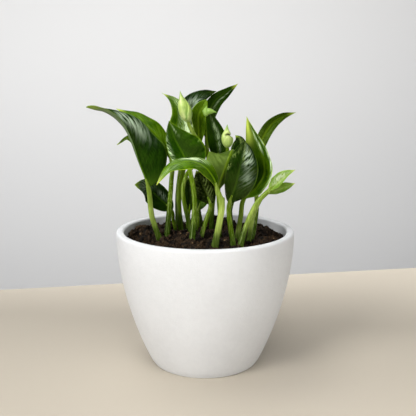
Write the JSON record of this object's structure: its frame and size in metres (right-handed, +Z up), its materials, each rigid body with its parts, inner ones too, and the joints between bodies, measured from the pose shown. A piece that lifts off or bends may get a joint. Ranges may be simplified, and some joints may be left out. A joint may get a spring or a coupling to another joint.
{
  "type": "potted pothos plant",
  "caption": "Small upright houseplant with glossy pointed leaves on green stalks, growing from dark soil in a plain matte white tapered round pot.",
  "frame": {"origin": "on the pot's axis, on the flat face that the pot stands on", "axes": "+Z up along the pot's axis; -Y to the front, the side that the arched leaf hangs over; +X to the right seen from the front"},
  "size_m": [0.1594, 0.1404, 0.2213],
  "materials": {
    "pot": "matte",
    "soil": "matte",
    "stalk": "satin",
    "leaf_dark": "gloss",
    "leaf_bright": "gloss",
    "leaf_olive": "satin",
    "leaf_young": "satin"
  },
  "bodies": {
    "root": {"pot": "pot", "soil": "soil", "stalk_left_large": "stalk", "leaf_left_large": "leaf_dark", "stalk_left_bright": "stalk", "leaf_left_bright": "leaf_bright", "stalk_centre": "stalk", "leaf_centre": "leaf_bright", "stalk_front_arched": "stalk", "leaf_front_arched": "leaf_bright", "stalk_middle_olive": "stalk", "leaf_middle_olive": "leaf_olive", "stalk_front_round": "stalk", "leaf_front_round": "leaf_dark", "stalk_right_rear": "stalk", "leaf_right_rear": "leaf_dark", "stalk_right_tall": "stalk", "leaf_right_tall": "leaf_bright", "stalk_far_right": "stalk", "leaf_far_right": "leaf_olive", "stalk_top_arched": "stalk", "leaf_top_arched": "leaf_dark", "stalk_top_right": "stalk", "leaf_top_right": "leaf_dark", "stalk_rear_olive": "stalk", "leaf_rear_olive": "leaf_olive", "stalk_middle_dark": "stalk", "leaf_middle_dark": "leaf_dark", "stalk_upper_left": "stalk", "leaf_upper_left": "leaf_bright", "stalk_low_left": "stalk", "leaf_low_left": "leaf_dark", "stalk_left_rear": "stalk", "leaf_left_rear": "leaf_bright", "stalk_inner_left": "stalk", "leaf_inner_left": "leaf_dark", "stalk_inner_dark": "stalk", "leaf_inner_dark": "leaf_dark", "stalk_inner_small": "stalk", "leaf_inner_small": "leaf_bright", "stalk_young_upper": "stalk", "leaf_young_upper": "leaf_young", "stalk_young_lower": "stalk", "leaf_young_lower": "leaf_young", "stalk_tall": "stalk", "bud_tall": "leaf_young", "stalk_small": "stalk", "bud_small": "leaf_young"}
  },
  "joints": []
}
